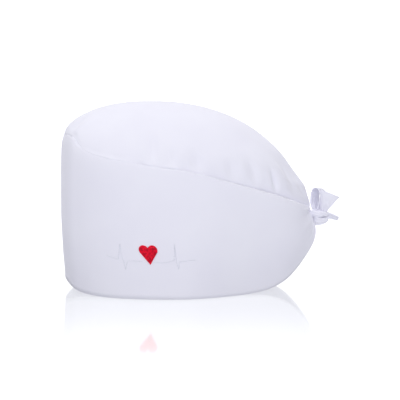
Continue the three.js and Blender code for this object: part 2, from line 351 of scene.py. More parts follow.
@dataclass(frozen=True)
class LitAcrylic:
    """A sheet of polished white acrylic, lit from below and less so near the cap.

    The distances near and far are in metres from the middle of the cap.
    """

    colour: str = "#626468"
    glow_colour: str = "#FBFCFF"
    glow_near: float = 0.585
    glow_far: float = 0.86
    near: float = 0.1
    far: float = 0.48
    roughness: tuple[float, float] = (0.056, 0.084)
    # The polish is a little uneven over patches of about this size in mm
    polish_size: float = 83.33
    ior: float = 1.49

    def build(self, name: str) -> bpy.types.Material:
        """Makes the material.

        Args:
            name: The material's name.

        Returns:
            The material.
        """
        material, tree = empty_material(name)
        place = add_node(tree, "ShaderNodeTexCoord")
        polish = add_node(
            tree,
            "ShaderNodeTexNoise",
            inputs={"Vector": place.outputs["Object"], "Scale": 1 / (self.polish_size * MM), "Detail": 2.0},
        )
        smear = add_node(
            tree,
            "ShaderNodeMapRange",
            inputs={
                "Value": polish.outputs["Fac"],
                "To Min": self.roughness[0],
                "To Max": self.roughness[1],
            },
        )
        away = add_node(
            tree,
            "ShaderNodeVectorMath",
            settings={"operation": "LENGTH"},
            inputs={0: place.outputs["Object"]},
        )
        glow = add_node(
            tree,
            "ShaderNodeMapRange",
            settings={"interpolation_type": "SMOOTHSTEP"},
            inputs={
                "Value": away.outputs["Value"],
                "From Min": self.near,
                "From Max": self.far,
                "To Min": self.glow_near,
                "To Max": self.glow_far,
            },
        )
        shader = add_node(
            tree,
            "ShaderNodeBsdfPrincipled",
            inputs={
                "Base Color": linear(self.colour),
                "Roughness": smear.outputs[0],
                "IOR": self.ior,
                "Emission Color": linear(self.glow_colour),
                "Emission Strength": glow.outputs[0],
            },
        )
        finish_material(tree, shader)
        return material


@dataclass(frozen=True)
class Section:
    """One section of half the cap, as the solids have it."""

    seam_x: float
    seam_y: float
    seam_z: float
    hem_x: float
    hem_y: float
    hem_z: float
    swell: float
    fullness: float


@dataclass(frozen=True)
class CrownFold:
    """A gather that runs up over the crown from a section of the seam."""

    section: float
    reach: float
    width: float
    depth: float


@dataclass(frozen=True)
class TieFold:
    """A gather of the band that runs into the tie at a share of its height."""

    height: float
    reach: float
    width: float
    depth: float


@dataclass(frozen=True)
class TiePleats:
    """Fine pleats of the band beside the tie, counted up its height, that die out within their reach."""

    turn: float
    start: float
    reach: float
    depth: float


@dataclass(frozen=True)
class Fullness:
    """A soft roll of the crown's cloth at a share of its rise, outwards or, where negative, inwards."""

    rise: float
    reach: float
    depth: float


@dataclass(frozen=True)
class Profile:
    """A value that changes along the sections, or up a height, in straight runs between places."""

    places: tuple[float, ...]
    values: tuple[float, ...]

    def at(self, place: Array) -> Array:
        """Gives the value at each place, the same on both sides of the cap."""
        return np.interp(np.abs(place), self.places, self.values)


@dataclass(frozen=True)
class Ripple:
    """A soft uneven wave along a line, by the mean distance between its turns."""

    spacing: float
    depth: float
    seed: int
    knots: int = 512
    # Keeps the places positive, whatever side of the line's start they are on
    margin: int = 100

    def at(self, place: Array) -> Array:
        """Gives the wave at distances along the line.

        Args:
            place: The distances.

        Returns:
            Values from minus its depth to its depth.
        """
        knots = np.random.default_rng(self.seed).uniform(-1, 1, self.knots)
        step = np.asarray(place, float) / self.spacing + self.margin
        low = np.floor(step).astype(int)
        share = step - low
        share = share * share * (3 - 2 * share)
        return self.depth * (knots[low % self.knots] * (1 - share) + knots[(low + 1) % self.knots] * share)


SECTIONS = (
    Section(0, -115.4, 143.6, 0, -116, 10.5, 3.8, 1.86),
    Section(18, -114, 144.4, 19, -114.6, 9.8, 3.8, 1.86),
    Section(33.5, -109, 145, 35, -109.8, 6.6, 4, 1.8),
    Section(42.6, -104.4, 142.6, 46.5, -104, 3.6, 4.2, 1.7),
    Section(49.4, -99.2, 136.4, 55, -96.6, 1.8, 4, 1.58),
    Section(58.5, -89.5, 131, 64.5, -86, 0.8, 3.8, 1.52),
    Section(68.5, -72.5, 127, 75, -68, 0, 3.2, 1.52),
    Section(75.5, -50.5, 123, 81.8, -46.5, 0, 2.6, 1.56),
    Section(78.7, -27, 119.4, 84.6, -23, 0, 2.2, 1.6),
    Section(78.4, -4, 116.4, 83.6, -1, 0, 2.4, 1.62),
    Section(75.6, 16, 111.6, 76.5, 18, 0, 3, 1.66),
    Section(69.5, 35, 106, 65.6, 37.5, 0, 4, 1.7),
    Section(61.5, 52, 100.5, 53.8, 56.5, 0.8, 5, 1.74),
    Section(52, 68.5, 95, 42, 74.5, 3.4, 6, 1.78),
    Section(42.5, 82.5, 89.8, 31, 90, 10, 6.6, 1.82),
    Section(34, 92.5, 85.5, 20.5, 101.8, 20, 6.8, 1.82),
    Section(26, 100, 81.8, 12, 111.4, 31.8, 6, 1.82),
    Section(18.5, 105.4, 79.2, 7.8, 117.4, 42, 4, 1.82),
    Section(12, 109.3, 77.3, 6.3, 119.8, 51.6, 1.8, 1.82),
    Section(7.2, 112.2, 75.4, 6.6, 118.6, 60, 0.8, 1.82),
    Section(3.4, 114.6, 72.8, 3.8, 116, 65.6, 0.2, 1.82),
)
LAST_SECTION = len(SECTIONS) - 1

CROWN_FOLDS = (
    CrownFold(3.0, 0.16, 5, 0.7),
    CrownFold(2.1, 0.5, 4.5, 2.2),
    CrownFold(7.8, 0.46, 5.5, 2.4),
    CrownFold(8.6, 0.3, 5, 2),
    CrownFold(9.7, 0.3, 7, 2.8),
    CrownFold(11.4, 0.26, 7, 2.2),
    CrownFold(12.6, 0.3, 6, 2.4),
    CrownFold(13.9, 0.24, 3.2, 3),
    CrownFold(15.9, 0.36, 8, 2.6),
    CrownFold(17.6, 0.3, 6, 1.4),
    CrownFold(-3.2, 0.3, 7, 2),
    CrownFold(-7.4, 0.36, 8, 1.8),
    CrownFold(-9.3, 0.28, 8, 1.8),
    CrownFold(-11.1, 0.3, 8, 2),
    CrownFold(-12.9, 0.34, 7, 2.4),
    CrownFold(-14.6, 0.36, 6, 2.2),
    CrownFold(-16.6, 0.34, 5, 1.8),
)

# The share of the seam's full groove at each section: flush near the forehead's corner, deepest at the
# temple and at the tie
SEAM_DEPTH = Profile(
    places=(0, 3, 5, 6.4, 7, 8, 9.5, 11, 17, 20),
    values=(0.05, 0.08, 0.0, 0.0, 0.4, 0.65, 0.5, 0.25, 0.3, 0.6),
)
# How sharply the band's shoulder turns in to the seam, most behind the ear
SHOULDER = Profile(places=(0, 9, 11, 16, 18, 20), values=(6, 6, 14, 14, 6, 6))
# The share of the welt's full height at each section
SEAM_WELT = Profile(places=(0, 3, 5, 6, 8, 10.5, 17, 20), values=(0.2, 0.35, 0.15, 0.0, 0.25, 1.0, 1.0, 0.4))
# How full the turned hem is, less at the forehead and not at all beside the tie
HEM_FULLNESS = Profile(places=(0, 3, 5, 12.5, 15.5), values=(0.2, 0.3, 1.0, 1.2, 0.0))
# How full the worn forehead is from the hem up to the seam
FOREHEAD_FULLNESS = Profile(places=(0, 0.15, 0.94, 1.04), values=(0.25, 1.0, 1.0, 0.0))

TIE_FOLDS = (TieFold(0.36, 28, 0.1, 1.1), TieFold(0.68, 34, 0.12, 1.3))
TIE_PLEATS = (TiePleats(38, 1.2, 13, 0.6), TiePleats(23, 0.0, 26, 0.36))

# How strongly the crown is gathered into the seam at each section
GATHERING = Profile(places=(0, 4, 6.2, 7.5, 14, 16), values=(0.2, 0.15, 0.15, 1.0, 1.0, 0.35))
# Where the crown lies flush with the band near the forehead's corner
FLUSH = Profile(places=(3.8, 4.8, 6.2, 7.2), values=(0, 1, 1, 0))
# How full the crown is over the forehead from the seam up
FOREHEAD_RISE = Profile(places=(0, 0.09), values=(0.62, 1.0))
# Where the gathered cloth hangs over the seam behind, and where it hangs over the root of the tie
HUNG_BEHIND = Profile(places=(9.5, 12, 15, 17), values=(0.0, 1.0, 1.0, 0.2))
HUNG_AT_TIE = Profile(places=(13, 17), values=(0.0, 1.0))
HANG_BEHIND = (Fullness(0.2, 0.12, 2.4), Fullness(0.03, 0.05, -0.7))
HANG_AT_TIE = (
    Fullness(0.05, 0.05, 1.3),
    Fullness(0.145, 0.035, 1.0),
    Fullness(0.26, 0.08, -1.8),
    Fullness(0.42, 0.12, -0.7),
)


def bump(distance: Array, width: float) -> Array:
    """Gives a smooth bump that is 1 in its middle and dies out at about twice its width."""
    return np.exp(-((distance / width) ** 2))


def plateau(distance: Array, width: float) -> Array:
    """Gives a smooth bump with a flat top that is 1 in its middle and falls off at its width."""
    return np.exp(-((distance / width) ** 4))


def rolls(rise: Array, table: Sequence[Fullness]) -> Array:
    """Gives how far all the soft rolls of a table stand out together at each rise."""
    return sum(roll.depth * bump(rise - roll.rise, roll.reach) for roll in table)


def between(limits: tuple[float, float], share: Array) -> Array:
    """Gives the values at shares of the way from one limit to the other."""
    return limits[0] + (limits[1] - limits[0]) * share


class SmoothLine:
    """A centripetal Catmull-Rom curve through points, with t from 0 to 1 over its spans."""

    def __init__(self, points: Array) -> None:
        """Keeps the points, with one more beyond each end.

        Args:
            points: The points, a row each.
        """
        ahead = 2 * points[0] - points[1]
        beyond = 2 * points[-1] - points[-2]
        self.points = np.vstack([ahead, points, beyond])
        self.spans = len(points) - 1

    def at(self, t: Array) -> Array:
        """Gives the curve's points.

        Args:
            t: Where along the curve, from 0 to 1.

        Returns:
            A point for each t.
        """
        place = np.clip(np.asarray(t, float), 0, 1) * self.spans
        span = np.minimum(place.astype(int), self.spans - 1)
        w = (place - span)[..., None]
        p0, p1, p2, p3 = (self.points[span + k] for k in range(4))
        pairs = ((p0, p1), (p1, p2), (p2, p3))
        d0, d1, d2 = (np.sqrt(np.linalg.norm(b - a, axis=-1, keepdims=True)) for a, b in pairs)
        least = 1e-4
        d1 = np.where(d1 < least, 1.0, d1)
        d0 = np.where(d0 < least, d1, d0)
        d2 = np.where(d2 < least, d1, d2)
        leave = ((p1 - p0) / d0 - (p2 - p0) / (d0 + d1) + (p2 - p1) / d1) * d1
        arrive = ((p2 - p1) / d1 - (p3 - p1) / (d1 + d2) + (p3 - p2) / d2) * d1
        return (
            (2 * w**3 - 3 * w**2 + 1) * p1
            + (w**3 - 2 * w**2 + w) * leave
            + (3 * w**2 - 2 * w**3) * p2
            + (w**3 - w**2) * arrive
        )

    def tangent(self, t: Array) -> Array:
        """Gives the curve's unit directions.

        Args:
            t: Where along the curve, from 0 to 1.

        Returns:
            A direction for each t.
        """
        step = 1e-4
        run = self.at(np.clip(t + step, 0, 1)) - self.at(np.clip(t - step, 0, 1))
        return run / np.linalg.norm(run, axis=-1, keepdims=True)

    def length(self, places: int = 2000) -> float:
        """Gives the curve's length, measured over places at even t."""
        return float(np.linalg.norm(np.diff(self.at(np.linspace(0, 1, places)), axis=0), axis=1).sum())


def blunt(value: Array, power: float) -> Array:
    """Raises values to a power and keeps their signs: below 1 this blunts a rounded form."""
    return np.sign(value) * np.abs(value) ** power


def unit(vectors: Array) -> Array:
    """Gives each vector at length 1."""
    return vectors / np.maximum(np.linalg.norm(vectors, axis=-1, keepdims=True), 1e-12)


@dataclass
class CapForm:
    """The worn shape of the cap that band, crown and embroidery all follow, in the frame's place."""

    top: tuple[float, float, float] = (0.0, -35.0, 174.5)
    fuller_at_top: float = 0.28
    # How far the crown's edge lies inside and under the seam, where that is flush and where it is deepest
    crown_inset: tuple[float, float] = (0.15, 1.9)
    crown_tuck: tuple[float, float] = (0.1, 1.1)
    # How many sections to either side the crown's edge is evened over, at the forehead and at the tie
    evening: tuple[float, float] = (1.2, 4.0)
    evening_nearness: float = 6.0
    evening_start: float = 1.2
    swell_start: float = 1.3

    def __post_init__(self) -> None:
        """Lays the lines through the sections and finds the frame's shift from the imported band."""
        self.seam = self.line(lambda s, side: (side * s.seam_x, s.seam_y, s.seam_z))
        self.hem = self.line(lambda s, side: (side * s.hem_x, s.hem_y, s.hem_z))
        self.middle = SmoothLine((self.seam.points[1:-1] + self.hem.points[1:-1]) / 2)
        self.full = self.line(lambda s, side: (s.swell, s.fullness, 0))
        low, high = (Vector(corner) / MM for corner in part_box("band"))
        front = self.band_skin(np.zeros(50), np.linspace(0, 1, 50))[:, 1].min()
        self.shift = np.array([(low.x + high.x) / 2, low.y - front, 0.0])

    @staticmethod
    def line(point_of: Callable[[Section, int], tuple[float, float, float]]) -> SmoothLine:
        """Lays a curve through one point of every section, from the tie round and back to it.

        Args:
            point_of: Gives a section's point on the side -1 or 1.

        Returns:
            The curve.
        """
        plain = [point_of(section, -1) for section in SECTIONS[:0:-1]]
        embroidered = [point_of(section, 1) for section in SECTIONS]
        return SmoothLine(np.array(plain + embroidered, float))

    @staticmethod
    def along(section: Array) -> Array:
        """Turns section numbers, from -LAST_SECTION to LAST_SECTION, to places on a line."""
        return np.clip(0.5 + np.asarray(section, float) / (2 * LAST_SECTION), 0, 1)

    def even(self, line: SmoothLine, share: Array) -> Array:
        """Gives the section numbers at even lengths of a line.

        Args:
            line: One of the lines through the sections.
            share: Shares of the line's length, from 0 to 1.

        Returns:
            Section numbers.
        """
        t = np.linspace(0, 1, 4001)
        steps = np.linalg.norm(np.diff(line.at(t), axis=0), axis=1)
        length = np.concatenate([[0], np.cumsum(steps)])
        return (np.interp(np.clip(share, 0, 1) * length[-1], length, t) - 0.5) * 2 * LAST_SECTION

    def outward(self, line: SmoothLine, section: Array) -> Array:
        """Gives the level direction out of the cap at each section of a line."""
        run = line.tangent(self.along(section))
        return unit(np.stack([run[..., 1], -run[..., 0], np.zeros_like(run[..., 0])], axis=-1))

    def swell_share(self, section: Array, height: Array) -> Array:
        """Gives the share of the band's swell at each height, with a tighter shoulder behind the ear.

        Args:
            section: Section numbers.
            height: Heights from 0 at the hem to 1 at the seam.

        Returns:
            Shares from 0 to 1.
        """
        lower = np.sin(np.pi * np.clip(height, 0, 0.5)) ** self.swell_start
        upper = np.sqrt(np.clip(1 - np.clip(2 * height - 1, 0, 1) ** SHOULDER.at(section), 0, 1))
        return np.where(height < 0.5, lower, upper)

    def from_tie(self, section: Array) -> Array:
        """Gives the straight distance of each section from its own end at the tie."""
        end = self.middle.at(np.where(np.asarray(section) < 0, 0.0, 1.0))
        return np.linalg.norm(self.middle.at(self.along(section)) - end, axis=-1)

    def band_skin(self, section: Array, height: Array) -> Array:
        """Gives the outside of the band, before the frame's shift.

        Args:
            section: Section numbers.
            height: Heights from 0 at the hem to 1 at the seam.

        Returns:
            A point for each pair.
        """
        t = self.along(section)
        point = self.hem.at(t)
        point[..., 2] = np.maximum(point[..., 2], 0)
        point = point + (self.seam.at(t) - point) * height[..., None]
        out = self.full.at(t)[..., 0] * self.swell_share(section, height)
        near = self.from_tie(section)
        for fold in TIE_FOLDS:
            middle = fold.reach / 2
            out = out - fold.depth * bump(height - fold.height, fold.width) * bump(near - middle, middle)
        return point + self.outward(self.middle, section) * out[..., None]

    def crown_edge(self, section: Array) -> Array:
        """Gives the crown's lower edge, just inside the top of the band.

        Args:
            section: Section numbers.

        Returns:
            A point for each.
        """
        depth = SEAM_DEPTH.at(section)
        inset = between(self.crown_inset, depth)
        edge = self.seam.at(self.along(section)) - self.outward(self.seam, section) * inset[..., None]
        edge[..., 2] -= between(self.crown_tuck, depth)
        return edge

    def evened_edge(self, section: Array) -> Array:
        """Gives the crown's edge with its corners evened out over the sections beside them.

        Args:
            section: Section numbers.

        Returns:
            A point for each.
        """
        reach = between(self.evening, np.abs(section / LAST_SECTION) ** self.evening_nearness)
        evened = 0.0
        shares = (-1, -0.5, 0, 0.5, 1)
        for share in shares:
            beside = np.mod(section + share * reach + LAST_SECTION, 2 * LAST_SECTION) - LAST_SECTION
            evened = evened + self.crown_edge(beside) / len(shares)
        return evened

    def plain_crown(self, section: Array, rise: Array) -> Array:
        """Gives the outside of the crown without its folds.

        Args:
            section: Section numbers.
            rise: Heights from 0 at the seam to 1 at the top.

        Returns:
            A point for each pair.
        """
        rise = np.clip(rise, 0, 1)
        own = ((1 - rise) ** self.evening_start)[..., None]
        edge = self.evened_edge(section) * (1 - own) + self.crown_edge(section) * own
        power = 2 / (self.full.at(self.along(section))[..., 1] + self.fuller_at_top * rise)
        turn = rise * np.pi / 2
        top = np.array(self.top)
        level = np.clip(np.cos(turn), 0, 1) ** power
        lift = np.clip(np.sin(turn), 0, 1) ** power
        point = top + (edge - top) * level[..., None]
        point[..., 2] = edge[..., 2] + (top[2] - edge[..., 2]) * lift
        return point

    def normal(self, surface: Callable[[Array, Array], Array], section: Array, height: Array) -> Array:
        """Gives the direction out of a surface at each place.

        Args:
            surface: Gives the surface's points from section numbers and heights.
            section: Section numbers.
            height: Heights from 0 to 1.

        Returns:
            A unit direction for each pair.
        """
        step = 0.01
        low = np.clip(height - step, 0, 1)
        high = np.clip(height + step, 0, 1)
        back = np.clip(section - step, -LAST_SECTION, LAST_SECTION)
        on = np.clip(section + step, -LAST_SECTION, LAST_SECTION)
        along = surface(on, height) - surface(back, height)
        up = surface(section, high) - surface(section, low)
        return unit(np.cross(along, up))

    def place(self, points: Array) -> Array:
        """Moves points to the frame's place and turns them to metres."""
        return (points + self.shift) * MM


def grid_mesh(bm: bmesh.types.BMesh, columns: int, rows: int) -> tuple[Verts, Array, Array]:
    """Makes a grid with its own two coordinates from 0 to 1.

    Args:
        bm: The mesh that gets the grid.
        columns: How many faces it has along the first coordinate.
        rows: How many faces it has along the second one.

    Returns:
        The vertices, and the two coordinates of each.
    """
    made = bmesh.ops.create_grid(bm, x_segments=columns, y_segments=rows, size=0.5)
    verts = made["verts"]
    flat = np.array([v.co[:2] for v in verts]) + 0.5
    return verts, flat[:, 0], flat[:, 1]


def disc_mesh(bm: bmesh.types.BMesh, faces: int) -> tuple[Verts, Array, Array]:
    """Makes a square grid laid out as a disc, so that it has no pole in its middle.

    Args:
        bm: The mesh that gets the disc.
        faces: How many faces the square has along each side.

    Returns:
        The vertices, how far each is from the middle, from 0 to 1, and its angle round it.
    """
    verts, u, v = grid_mesh(bm, faces, faces)
    x, y = 2 * u - 1, 2 * v - 1
    disc_x = x * np.sqrt(1 - y * y / 2)
    disc_y = y * np.sqrt(1 - x * x / 2)
    return verts, np.clip(np.hypot(disc_x, disc_y), 0, 1), np.arctan2(disc_x, -disc_y)


def move_to(verts: Verts, points: Array) -> None:
    """Moves vertices to points in metres."""
    for vert, point in zip(verts, points):
        vert.co = point


def write_threads(bm: bmesh.types.BMesh, verts: Verts, across: Array, up: Array) -> None:
    """Writes a UV map in metres, so that the weave follows the cloth.

    Args:
        bm: The mesh.
        verts: Its vertices.
        across: Each vertex's distance along the cloth.
        up: Each vertex's distance up the cloth.
    """
    layer = bm.loops.layers.uv.new("threads")
    bm.verts.index_update()
    place = {vert.index: (across[i], up[i]) for i, vert in enumerate(verts)}
    for face in bm.faces:
        for loop in face.loops:
            loop[layer].uv = place[loop.vert.index]


def finish_piece(
    bm: bmesh.types.BMesh,
    name: str,
    material: bpy.types.Material,
    stands_for: Sequence[str] = (),
) -> bpy.types.Object:
    """Turns a mesh to a smooth object that rides on the cap.

    Args:
        bm: The mesh, which is freed.
        name: The piece's name.
        material: Its finish.
        stands_for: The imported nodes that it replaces.

    Returns:
        The object.
    """
    mesh = bpy.data.meshes.new(name)
    for face in bm.faces:
        face.smooth = True
    bm.to_mesh(mesh)
    bm.free()
    mesh.materials.append(material)
    piece = bpy.data.objects.new(name, mesh)
    bpy.context.scene.collection.objects.link(piece)
    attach(piece, ROOT)
    if stands_for:
        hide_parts(*stands_for)
    LOG.info("%s: %d vertices", name, len(mesh.vertices))
    return piece


def thicken(piece: bpy.types.Object, thickness: float) -> None:
    """Gives a sheet its thickness inwards.

    Args:
        piece: The sheet.
        thickness: In millimetres.
    """
    wall = piece.modifiers.new("cloth_thickness", "SOLIDIFY")
    wall.thickness = thickness * MM
    wall.offset = -1
    wall.use_rim = True
    wall.use_even_offset = False


@dataclass
class BandCloth:
    """The high band: one strip of cotton that runs from the tie round the forehead and back."""

    form: CapForm
    cotton: bpy.types.Material
    columns: int = 300
    rows: int = 56
    thickness: float = 0.9
    # Above 1, the rows of faces lie closer together towards the seam
    row_bias: float = 1.7
    # The rolled upper edge: its radius where the seam is flush and where it is deepest, its share of the
    # rows and how far it turns
    roll_radius: tuple[float, float] = (0.12, 1.0)
    roll_rows: float = 0.1
    roll_turn: float = math.radians(115)
    # Small puckers that the seam pulls up, least where it is flush
    pucker: Ripple = Ripple(7.0, 0.36, 11)
    pucker_reach: float = 7.0
    puckered: tuple[float, float] = (0.2, 1.0)
    # Long soft waves that wander from side to side up the band
    wave: Ripple = Ripple(46.0, 0.7, 5)
    wander: float = 12.0
    wander_turn: float = 3.0
    wave_edge: float = 0.7
    # Slack cloth a little way under the seam
    slack: Ripple = Ripple(24.0, 0.45, 17)
    slack_drop: float = 16.0
    slack_reach: float = 12.0
    # The groove that the line of hem stitches pulls, a little uneven from stitch to stitch
    hem_height: float = 12.0
    hem_step: float = 0.25
    hem_groove: float = 1.2
    hem_pull: float = 0.7
    hem_stitch: Ripple = Ripple(3.2, 0.3, 23)
    hem_fill: float = 1.3
    hem_reach: float = 24.0
    # The fine pleats at the tie start this far from it
    pleat_start: float = 6.0
    forehead_fill: float = 1.0
    forehead_sections: float = 4.2
    welt_height: float = 0.6
    welt_drop: float = 1.1
    welt_width: float = 1.15
    # Keeps the dressed hem just clear of the floor
    lowest: float = 0.02
    length: float = field(init=False, default=0.0)

    def relief(self, section: Array, height: Array) -> Array:
        """Gives how far the dressed cloth stands out of the plain skin.

        Args:
            section: Section numbers.
            height: Heights from 0 at the hem to 1 at the seam.

        Returns:
            Distances, in towards the head where negative.
        """
        run = self.run_at(section)
        place = self.form.along(section)
        tall = np.linalg.norm(self.form.seam.at(place) - self.form.hem.at(place), axis=-1)
        below_seam = (1 - height) * tall
        above_hem = height * tall
        near = self.form.from_tie(section)
        pucker = between(self.puckered, SEAM_DEPTH.at(section)) * self.pucker.at(run)
        wandering = run + self.wander * np.sin(height * self.wander_turn)
        upright = np.sin(np.pi * np.clip(height, 0, 1)) ** self.wave_edge
        groove = bump(above_hem - self.hem_height, self.hem_groove)
        pleats = sum(
            pleat.depth * np.sin(height * pleat.turn + pleat.start) * np.exp(-near / pleat.reach)
            for pleat in TIE_PLEATS
        )
        forehead = FOREHEAD_FULLNESS.at(height) * plateau(section, self.forehead_sections)
        return (
            pucker * np.exp(-below_seam / self.pucker_reach)
            + self.wave.at(wandering) * upright
            + self.slack.at(run) * bump(below_seam - self.slack_drop, self.slack_reach)
            - self.hem_step * groove * (self.hem_pull + self.hem_stitch.at(run))
            + pleats * np.clip(near / self.pleat_start, 0, 1)
            + self.forehead_fill * forehead
            + self.hem_fill * HEM_FULLNESS.at(section) * bump(above_hem, self.hem_reach)
            + self.welt_height * SEAM_WELT.at(section) * bump(below_seam - self.welt_drop, self.welt_width)
        )

    def run_at(self, section: Array) -> Array:
        """Gives the length of cloth from the tie to each section."""
        return (np.asarray(section, float) + LAST_SECTION) / (2 * LAST_SECTION) * self.length

    def skin(self, section: Array, height: Array) -> Array:
        """Gives the dressed outside of the band before the frame's shift.

        Args:
            section: Section numbers.
            height: Heights from 0 at the hem to 1 at the seam.

        Returns:
            A point for each pair.
        """
        base = self.form.band_skin(section, height)
        out = self.form.normal(self.form.band_skin, section, height)
        points = base + out * self.relief(section, height)[..., None]
        points[..., 2] = np.maximum(points[..., 2], self.lowest)
        return points

    def build(self) -> bpy.types.Object:
        """Builds the band, with its upper edge rolled in to the seam.

        Returns:
            The band.
        """
        self.length = self.form.middle.length()
        bm = bmesh.new()
        verts, u, v = grid_mesh(bm, self.columns, self.rows)
        section = self.form.even(self.form.middle, u)
        share = np.clip(v / (1 - self.roll_rows), 0, 1)
        height = 1 - (1 - share) ** self.row_bias
        points = self.skin(section, height)
        turn = np.clip((v - 1 + self.roll_rows) / self.roll_rows, 0, 1) * self.roll_turn
        out = self.form.outward(self.form.seam, section)
        radius = between(self.roll_radius, SEAM_DEPTH.at(section))
        points = points - out * (radius * np.sin(turn))[..., None]
        points[:, 2] -= radius * (1 - np.cos(turn))
        move_to(verts, self.form.place(points))
        write_threads(bm, verts, u * self.length * MM, points[:, 2] * MM)
        piece = finish_piece(bm, "band_cloth", self.cotton, ["band"])
        thicken(piece, self.thickness)
        return piece


@dataclass
class CrownCloth:
    """The crown: a panel of cotton gathered into the seam all round and filled out over the head."""

    form: CapForm
    cotton: bpy.types.Material
    faces: int = 150
    thickness: float = 0.9
    # The turned edge inside the band: its share of the disc and how far it goes down
    skirt: float = 0.035
    skirt_depth: float = 4.0
    # The share of the way round, on each side, that crosses the gap at the tie
    gap: float = 0.006
    # About how long the seam is, which the gathers are spread over
    round_length: float = 640.0
    # From this rise up, the way out is taken from here, because the sections meet at the top
    highest: float = 0.94
    # Fine gathers at the seam, wider ones that lean a little, and slack cloth over both
    gather_start: float = 0.035
    fine: Ripple = Ripple(6.5, 0.5, 31)
    fine_reach: float = 0.055
    gathers: Ripple = Ripple(11.0, 1.0, 37)
    gather_lean: float = 10.0
    gather_reach: float = 0.13
    slack: Ripple = Ripple(27.0, 0.8, 41)
    slack_lean: float = 30.0
    slack_rise: float = 0.22
    slack_reach: float = 0.16
    # The fuller forehead, its lower corner, and the flush length of the seam beside it
    forehead_fill: float = 1.2
    forehead_reach: float = 0.3
    forehead_sections: float = 3.4
    corner_fill: float = 0.7
    corner_reach: float = 0.06
    corner_sections: float = 2.6
    flush_fill: float = 1.1
    flush_reach: float = 0.05
    flat_width: float = 225.0
    flat_length: float = 266.0
    gather_share: float = 1.06

    def ring(self, share: Array) -> tuple[Array, Array]:
        """Splits shares of the way round the crown between the seam and the small gap at the tie.

        Args:
            share: From 0 to 1 round the crown, where 0 and 1 are the middle of the tie.

        Returns:
            Section numbers, and how far each place is across the gap towards the far side.
        """
        section = self.form.even(self.form.seam, (share - self.gap) / (1 - 2 * self.gap))
        from_end = np.minimum(share, 1 - share)
        return section, np.clip(1 - from_end / self.gap, 0, 1) / 2

    def relief(self, section: Array, rise: Array, run: Array) -> Array:
        """Gives how far the cloth lies in or out of the plain crown.

        Args:
            section: Section numbers.
            rise: Heights from 0 at the seam to 1 at the top.
            run: Distances along the seam.

        Returns:
            Distances, in towards the head where negative.
        """
        form = self.form
        on_seam = form.seam.at(form.along(section))
        sink = np.zeros_like(rise)
        for fold in CROWN_FOLDS:
            apart = np.linalg.norm(on_seam - form.seam.at(form.along(np.array(fold.section))), axis=-1)
            upright = np.sin(np.pi * np.clip(rise / fold.reach, 0, 1)) ** 2
            sink += fold.depth * bump(apart, fold.width) * upright
        gathered = np.clip(rise / self.gather_start, 0, 1) * GATHERING.at(section)
        fine = self.fine.at(run) * np.exp(-rise / self.fine_reach)
        gathers = self.gathers.at(run + self.gather_lean * rise) * np.exp(-rise / self.gather_reach)
        slack = self.slack.at(run + self.slack_lean * rise) * bump(rise - self.slack_rise, self.slack_reach)
        return gathered * (fine + gathers + slack) - sink + self.fill(section, rise)

    def fill(self, section: Array, rise: Array) -> Array:
        """Gives how much fuller the crown is at the forehead and where it hangs over the seam behind.

        Args:
            section: Section numbers.
            rise: Heights from 0 at the seam to 1 at the top.

        Returns:
            Distances outwards.
        """
        front = FOREHEAD_RISE.at(rise) * plateau(rise, self.forehead_reach)
        corner = plateau(section, self.corner_sections) * bump(rise, self.corner_reach)
        flush = FLUSH.at(section) * bump(rise, self.flush_reach)
        return (
            self.forehead_fill * front * plateau(section, self.forehead_sections)
            + self.corner_fill * corner
            + self.flush_fill * flush
            + HUNG_BEHIND.at(section) * rolls(rise, HANG_BEHIND)
            + HUNG_AT_TIE.at(section) * rolls(rise, HANG_AT_TIE)
        )

    def build(self) -> bpy.types.Object:
        """Builds the crown from a disc that has no pole at its top.

        Returns:
            The crown.
        """
        form = self.form
        bm = bmesh.new()
        verts, radius, angle = disc_mesh(bm, self.faces)
        share = np.mod(angle / (2 * np.pi) + 0.5, 1)
        section, across = self.ring(share)
        run = share * self.round_length
        rise = np.clip(1 - radius / (1 - self.skirt), 0, 1)
        drop = np.clip((radius - 1 + self.skirt) / self.skirt, 0, 1) * self.skirt_depth
        here = self.surface(section, rise, run)
        there = self.surface(-section, rise, run)
        points = here * (1 - across)[:, None] + there * across[:, None]
        points[:, 2] -= drop
        move_to(verts, form.place(points))
        write_threads(bm, verts, points[:, 0] * MM, points[:, 1] * MM)
        bmesh.ops.recalc_face_normals(bm, faces=bm.faces)
        if max(bm.faces, key=lambda face: face.calc_center_median().z).normal.z < 0:
            bmesh.ops.reverse_faces(bm, faces=bm.faces)
        piece = finish_piece(bm, "crown_cloth", self.cotton, ["crown"])
        thicken(piece, self.thickness)
        return piece

    def surface(self, section: Array, rise: Array, run: Array) -> Array:
        """Gives the dressed outside of the crown before the frame's shift.

        Args:
            section: Section numbers.
            rise: Heights from 0 at the seam to 1 at the top.
            run: Distances along the seam.

        Returns:
            A point for each place.
        """
        base = self.form.plain_crown(section, rise)
        out = self.form.normal(self.form.plain_crown, section, np.clip(rise, 0, self.highest))
        return base + out * self.relief(section, rise, run)[..., None]


@dataclass(frozen=True)
class RibbonRow:
    """A place along a ribbon: its middle, its width, the direction across it, its cup and its pleats."""

    x: float
    y: float
    z: float
    width: float
    across: tuple[float, float, float]
    cup: float = 0.0
    pleat: float = 0.0


